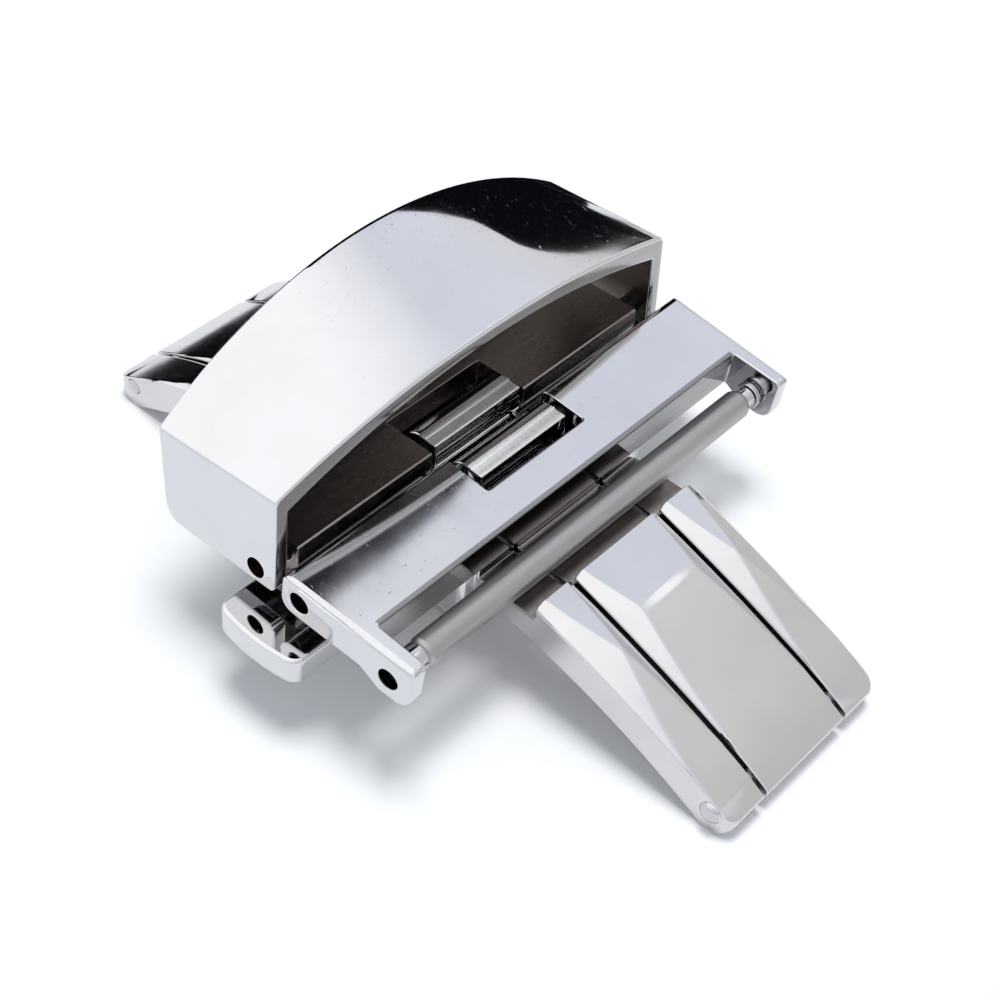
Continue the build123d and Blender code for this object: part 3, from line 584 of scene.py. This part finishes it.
end_pin_steel = polished_steel(
    "end_pin_polished_steel", (0.576, 0.567, 0.585), (0.504, 0.495, 0.513), 0.03, 0.08, rarity=0.82
)
finish_with(["cover_end_pin", "frame_end_pin"], end_pin_steel)
round_corners(["cover_end_pin", "frame_end_pin"], 0.00003, from_angle=30)


# Folding arms
# Each arm lies in the slot of the blade and carries a knuckle for its hinge pin. The top is
# mirror polished, the knuckle's narrow flat linished across and painted pale as a painted highlight, and the
# hooked catch only ground.

arm_steel = polished_steel(
    "arm_polished_steel", (0.648, 0.648, 0.652), (0.612, 0.603, 0.608), 0.06, 0.12, rarity=0.80
)
add_shaded_sunk_strips(arm_steel)
tree = arm_steel.node_tree
flats = []
for middle in ((-0.00098, 0, 0.00690), (0.00149, 0, 0.00697)):
    flats.append(place_group(
        tree, inside_block, (-1200, -1300), Middle=middle, Half=(0.00040, 0.00260, 0.00009),
    ))
flat = larger_of(tree, flats[0].outputs["Inside"], flats[1].outputs["Inside"], (-950, -1300))
linished = place_group(tree, belt_grain, (-1200, -1500), Scale=(2500.0, 9000.0, 9000.0))
# Painted highlight: the linished flat is painted pale, lighter than the steel itself.
pale_highlight = blend_colours(tree, linished.outputs["Grain"], (0.70, 0.71, 0.70), (0.98, 0.99, 0.98), (-700, -1300))
across_grain = blend_values(tree, linished.outputs["Grain"], 0.42, 0.60, (-700, -1500))
lay_over(arm_steel, flat, pale_highlight, across_grain, place=(-50, 300))
finish_with(["cover_arm", "frame_arm"], arm_steel)
round_corners(["cover_arm", "frame_arm"], 0.00007, crease=0.00028)

catch_steel = ground_steel(
    "catch_ground_steel", (0.44, 0.42, 0.40), (0.56, 0.54, 0.52), 0.20, 0.30, (9000.0, 9000.0, 200.0)
)
finish_with(["cover_arm_catch", "frame_arm_catch"], catch_steel)
round_corners(["cover_arm_catch", "frame_arm_catch"], 0.00005)


# Push buttons
# The two buttons slide in the housing from both sides, each on a small coil spring. They are
# milled from bar, rounded at the end that the fingers press, and mirror polished.

button_steel = polished_steel(
    "button_polished_steel", (0.684, 0.684, 0.693), (0.63, 0.63, 0.639), 0.03, 0.08, rarity=0.81
)
finish_with(["button_near", "button_far"], button_steel)
round_corners(["button_near", "button_far"], 0.00006, from_angle=20)

wire_steel = ground_steel(
    "spring_wire_steel", (0.34, 0.33, 0.33), (0.46, 0.45, 0.45), 0.22, 0.32, (5000.0, 5000.0, 5000.0)
)
finish_with(["button_spring_near", "button_spring_far"], wire_steel)


# Hinge pins
# Straight drawn pins through knuckle and ears, their ends sunk in the outer holes. The pins are
# painted near black as painted shade in the holes.

pin_steel = ground_steel(
    "hinge_pin_painted_shade_steel", (0.035, 0.033, 0.035), (0.07, 0.068, 0.07), 0.35, 0.45, (5000.0, 300.0, 5000.0)
)
finish_with(["cover_pin", "frame_pin"], pin_steel)
round_corners(["cover_pin", "frame_pin"], 0.00005, from_angle=30)


# Strap plate and peg
# The flap inside the cover presses on the strap, and its peg goes through a hole of the strap.
# The plate is pressed and ground, and painted brownish and dark as painted shade under the cover.

plate_shade_steel = ground_steel(
    "strap_plate_ground_painted_shade", (0.24, 0.215, 0.20), (0.33, 0.30, 0.28), 0.16, 0.26, (6000.0, 200.0, 6000.0)
)
# Painted reflection: the plate's front face is painted near black for the dark frame edge before it.
front_face_reflection = place_group(
    plate_shade_steel.node_tree, inside_block, (-1200, -700),
    Middle=(-0.00047, 0, 0.00618), Half=(0.00006, 0.02, 0.00040),
)
lay_over(plate_shade_steel, front_face_reflection.outputs["Inside"], (0.035, 0.03, 0.03))
finish_with(["strap_plate"], plate_shade_steel)
round_corners(["strap_plate"], 0.00007)

peg_steel = ground_steel(
    "peg_turned_steel", (0.40, 0.38, 0.36), (0.52, 0.50, 0.48), 0.14, 0.22, (5000.0, 5000.0, 300.0)
)
finish_with(["strap_peg"], peg_steel)
round_corners(["strap_peg"], 0.00005, from_angle=30)


# Arched cover
# The arched shell is lost-wax cast and mirror polished outside, with finger smears and a few
# hair scratches. Inside it is ground, and painted dark brown as painted shade under the arch.

cover_steel = polished_steel(
    "cover_polished_steel", (0.668, 0.668, 0.686), (0.637, 0.633, 0.646), 0.03, 0.065, rarity=0.80,
    wear_reach=0.00014,
)
inside_shade_steel = ground_steel(
    "cover_inside_ground_painted_shade", (0.19, 0.165, 0.15), (0.27, 0.24, 0.22), 0.20, 0.30, (300.0, 6000.0, 6000.0)
)
rim_steel = ground_steel(
    "cover_rim_ground_steel", (0.33, 0.32, 0.31), (0.43, 0.42, 0.41), 0.10, 0.18, (6000.0, 300.0, 6000.0)
)
# Painted shade: the wall of the hinge hole is painted near black.
hole_shade_steel = ground_steel(
    "cover_hole_painted_shade", (0.04, 0.036, 0.04), (0.07, 0.066, 0.07), 0.30, 0.40, (5000.0, 400.0, 5000.0)
)


def hinge_place(name):
    """Where the axis of one of the CAD's joints runs."""
    return next(joint["pos_m"] for joint in frame["joints"] if joint["name"] == name)


# The arch in millimetres, measured from its hinge pin along the closed cover and upright to it.
cover_pin_x, _, cover_pin_z = (round(place * 1000, 4) for place in hinge_place("cover_swing"))
cover_tilt = math.radians(2.6)
front_reach = 1.03
rear_reach = 5.0
rear_lean = math.tan(math.radians(4.3))
wall_foot = -0.7
wall_lean = 0.045
half_width = 11.75
front_side, front_crown = 3.96, 5.452
rear_side, rear_crown = 3.65, 7.105
wall_thickness = 0.67
roof_side_thickness = 0.9
roof_edge_radius = 0.35
rear_corner_radius = 0.8
front_corner_radius = 0.25
inner_edge_radius = 0.12
wall_steps = 5
edge_steps = 8
roof_steps = 56
settling_rounds = 30


def arch_curve(half_foot, foot, side, crown, edge_radius):
    """Half of one cross section as (y, w): up the wall, round the edge, over the roof to its top."""
    half_side = half_foot - wall_lean * (side - wall_foot)
    rise = crown - side
    roof_radius = (half_side**2 + rise**2) / (2 * rise)
    roof_centre = crown - roof_radius
    edge_w = side - edge_radius
    for _ in range(settling_rounds):
        edge_y = half_foot - wall_lean * (edge_w - wall_foot) - edge_radius * math.hypot(1, wall_lean)
        edge_w = roof_centre + math.sqrt((roof_radius - edge_radius) ** 2 - edge_y**2)
    low_turn = math.atan(wall_lean)
    high_turn = math.atan2(edge_w - roof_centre, edge_y)
    wall_top = edge_w + edge_radius * math.sin(low_turn)
    curve = []
    for step in range(wall_steps):
        w = foot + (wall_top - foot) * step / wall_steps
        curve.append((half_foot - wall_lean * (w - wall_foot), w))
    for step in range(edge_steps + 1):
        turn = low_turn + (high_turn - low_turn) * step / edge_steps
        curve.append((edge_y + edge_radius * math.cos(turn), edge_w + edge_radius * math.sin(turn)))
    for step in range(1, roof_steps // 2 + 1):
        turn = high_turn + (math.pi / 2 - high_turn) * 2 * step / roof_steps
        curve.append((roof_radius * math.cos(turn), roof_centre + roof_radius * math.sin(turn)))
    return curve


def whole_arch(half_foot, foot, side, crown, edge_radius):
    right = arch_curve(half_foot, foot, side, crown, edge_radius)
    left = [(-y, w) for y, w in right[:-1]]
    return left + right[::-1]


def foot_height(share):
    """The walls' lower corners are rounded, small at the front and large at the rear."""
    length = front_reach + rear_reach
    from_front = share * length
    from_rear = length - from_front
    foot = wall_foot
    for radius, distance in ((front_corner_radius, from_front), (rear_corner_radius, from_rear)):
        if distance < radius:
            foot += radius - math.sqrt(radius**2 - (radius - distance) ** 2)
    return foot


# The cross sections stand closest at both ends, where the foot bends and the rims are rounded.
stations = [0, 0.026, 0.045, 0.1, 0.2, 0.3, 0.4, 0.5, 0.6, 0.7, 0.8, 0.868, 0.89, 0.92, 0.95, 0.974, 1]
cover_points = []
for inset, side_inset, crown_inset, edge_radius in (
    (0, 0, 0, roof_edge_radius), (wall_thickness, roof_side_thickness, wall_thickness, inner_edge_radius),
):
    half_foot = half_width - inset
    for share in stations:
        foot = foot_height(share)
        front_row = whole_arch(
            half_foot, foot, front_side - side_inset, front_crown - crown_inset, edge_radius
        )
        rear_row = whole_arch(half_foot, foot, rear_side - side_inset, rear_crown - crown_inset, edge_radius)
        row_length = len(front_row)
        for (front_y, front_w), (rear_y, rear_w) in zip(front_row, rear_row):
            rear_x = -rear_reach - (rear_w - wall_foot) * rear_lean
            x = front_reach + (rear_x - front_reach) * share
            y = front_y + (rear_y - front_y) * share
            w = front_w + (rear_w - front_w) * share
            cover_points.append((
                (cover_pin_x + x * math.cos(cover_tilt) - w * math.sin(cover_tilt)) / 1000,
                y / 1000,
                (cover_pin_z + x * math.sin(cover_tilt) + w * math.cos(cover_tilt)) / 1000,
            ))
cover_finishes = (cover_steel, inside_shade_steel, hole_shade_steel, rim_steel)
outside, inside, front_rim = (cover_finishes.index(steel) for steel in (cover_steel, inside_shade_steel, rim_steel))
cover_faces = []
face_finish = []
skin = len(stations) * row_length
for row in range(len(stations) - 1):
    for step in range(row_length - 1):
        corner = row * row_length + step
        cover_faces.append((corner, corner + 1, corner + row_length + 1, corner + row_length))
        cover_faces.append(tuple(skin + point for point in reversed(cover_faces[-1])))
        face_finish += [outside, inside]
    for step in (0, row_length - 1):
        corner = row * row_length + step
        foot_face = (corner, corner + row_length, skin + corner + row_length, skin + corner)
        cover_faces.append(foot_face if step == 0 else foot_face[::-1])
        face_finish.append(outside)
for row in (0, len(stations) - 1):
    for step in range(row_length - 1):
        corner = row * row_length + step
        rim_face = (corner, skin + corner, skin + corner + 1, corner + 1)
        cover_faces.append(rim_face if row == 0 else rim_face[::-1])
        face_finish.append(front_rim if row == 0 else outside)
shell_mesh = bpy.data.meshes.new("cover_shell")
shell_mesh.from_pydata(cover_points, [], cover_faces)
shell_mesh.polygons.foreach_set("material_index", face_finish)
for finish in cover_finishes:
    shell_mesh.materials.append(finish)
shell = link_object("cover_shell_blank", shell_mesh)

# The drill for the hinge pin goes through both walls.
drill_radius = 0.46
drill_end = 13
drill_sides = 48
drill_points = []
drill_faces = [tuple(range(0, 2 * drill_sides, 2)), tuple(range(2 * drill_sides - 1, 0, -2))]
for step in range(drill_sides):
    turn = 2 * math.pi * step / drill_sides
    for y in (-drill_end, drill_end):
        drill_points.append((
            (cover_pin_x + drill_radius * math.cos(turn)) / 1000,
            y / 1000,
            (cover_pin_z + drill_radius * math.sin(turn)) / 1000,
        ))
    near = 2 * step
    following = (near + 2) % (2 * drill_sides)
    drill_faces.append((near, near + 1, following + 1, following))
drill_mesh = bpy.data.meshes.new("hinge_drill")
drill_mesh.from_pydata(drill_points, [], drill_faces)
drill_mesh.materials.append(hole_shade_steel)
drill = link_object("hinge_drill", drill_mesh)
for blank in (shell_mesh, drill_mesh):
    solid = bmesh.new()
    solid.from_mesh(blank)
    bmesh.ops.recalc_face_normals(solid, faces=solid.faces)
    solid.to_mesh(blank)
    solid.free()
rim = shell.modifiers.new("rounded_rims", "BEVEL")
rim.limit_method = "ANGLE"
rim.angle_limit = math.radians(30)
rim.width = 0.00010
rim.segments = 3
rim.use_clamp_overlap = False
rim.material = outside
drilled = shell.modifiers.new("drilled", "BOOLEAN")
drilled.operation = "DIFFERENCE"
drilled.solver = "EXACT"
drilled.object = drill
drilled.material_mode = "TRANSFER"
bpy.context.view_layer.update()
cover_mesh = bpy.data.meshes.new_from_object(shell.evaluated_get(bpy.context.evaluated_depsgraph_get()))
cover_mesh.name = "cover_shell"
# The rims and the walls of the hole stay sharp in the shading, and the rest is smooth.
drilled_walls = bmesh.new()
drilled_walls.from_mesh(cover_mesh)
for edge in drilled_walls.edges:
    edge.smooth = edge.calc_face_angle(0) < math.radians(40)
for face in drilled_walls.faces:
    face.smooth = True
drilled_walls.to_mesh(cover_mesh)
drilled_walls.free()
bpy.data.objects.remove(shell)
bpy.data.objects.remove(drill)
cover_shell = link_object("cover_shell", cover_mesh)
even = cover_shell.modifiers.new("even_shading", "WEIGHTED_NORMAL")
even.mode = "FACE_AREA"
even.keep_sharp = True
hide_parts("arched_cover")
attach(cover_shell, "cover_body")


# Buckle frame
# The notched frame holds the short half of the strap between its two ears. It is milled from
# plate and mirror polished. Its pin holes are painted dark, and its ground window face dark grey, both as
# painted shade.

frame_steel = polished_steel(
    "frame_polished_steel", (0.648, 0.652, 0.666), (0.612, 0.612, 0.63), 0.05, 0.09, rarity=0.81
)
tree = frame_steel.node_tree
frame_hinge = hinge_place("frame_swing")
bar_axis = hinge_place("spring_bar_spin")
# Painted shade: the pin hole and the spring bar hole are painted near black inside.
pin_end_shade = place_group(tree, pin_hole_shade, (-900, -700), Axis=frame_hinge)
bar_end_shade = place_group(tree, pin_hole_shade, (-900, -900), Axis=bar_axis)
either_shade = larger_of(tree, pin_end_shade.outputs["Inside"], bar_end_shade.outputs["Inside"], (-700, -800))
lay_over(frame_steel, either_shade, (0.05, 0.045, 0.05), place=(-300, 300))
# Painted shade: the window face, ground across, is painted dark grey.
window_face_shade = place_group(
    tree, inside_block, (-900, -1100), Middle=(0.00422, 0, 0.0060), Half=(0.00014, 0.01095, 0.00092)
)
belt = place_group(tree, belt_grain, (-900, -1300), Scale=(6000.0, 250.0, 6000.0))
ground_painted_shade = blend_colours(
    tree, belt.outputs["Grain"], (0.22, 0.21, 0.21), (0.34, 0.33, 0.33), (-600, -1200)
)
lay_over(frame_steel, window_face_shade.outputs["Inside"], ground_painted_shade, place=(-150, 300))
finish_with(["buckle_frame"], frame_steel)
round_corners(["buckle_frame"], 0.00008)


# Quick-change spring bar
# A satin tube with a flanged tip at each end and a coil spring between them. The tube is turned
# from stainless bar and tumbled dull. The tips are polished, and painted dark as painted shade where they sit
# in the ears.

tube_steel = ground_steel(
    "spring_bar_satin_steel", (0.37, 0.36, 0.36), (0.47, 0.46, 0.46), 0.34, 0.42, (5000.0, 500.0, 5000.0),
    depth=0.000003, rarity=0.86,
)
finish_with(["spring_bar_tube"], tube_steel)
round_corners(["spring_bar_tube"], 0.00005, from_angle=20)

tip_steel = polished_steel(
    "spring_bar_tip_steel", (0.594, 0.594, 0.603), (0.522, 0.522, 0.531), 0.08, 0.16, rarity=0.82
)
tree = tip_steel.node_tree
between_ears = place_group(
    tree, inside_block, (-900, -700), Middle=bar_axis, Half=(0.001, 0.01103, 0.001)
)
# Painted shade: the tips are painted near black where they sit inside the ears.
in_the_ears_shade = add_node(tree, "ShaderNodeMath", (-650, -700), operation="SUBTRACT")
in_the_ears_shade.inputs[0].default_value = 1.0
tree.links.new(between_ears.outputs["Inside"], in_the_ears_shade.inputs[1])
lay_over(tip_steel, in_the_ears_shade.outputs[0], (0.04, 0.04, 0.045))
finish_with(["spring_bar_tip_near", "spring_bar_tip_far"], tip_steel)
round_corners(["spring_bar_tip_near", "spring_bar_tip_far"], 0.00004, from_angle=20)
finish_with(["spring_bar_spring"], wire_steel)
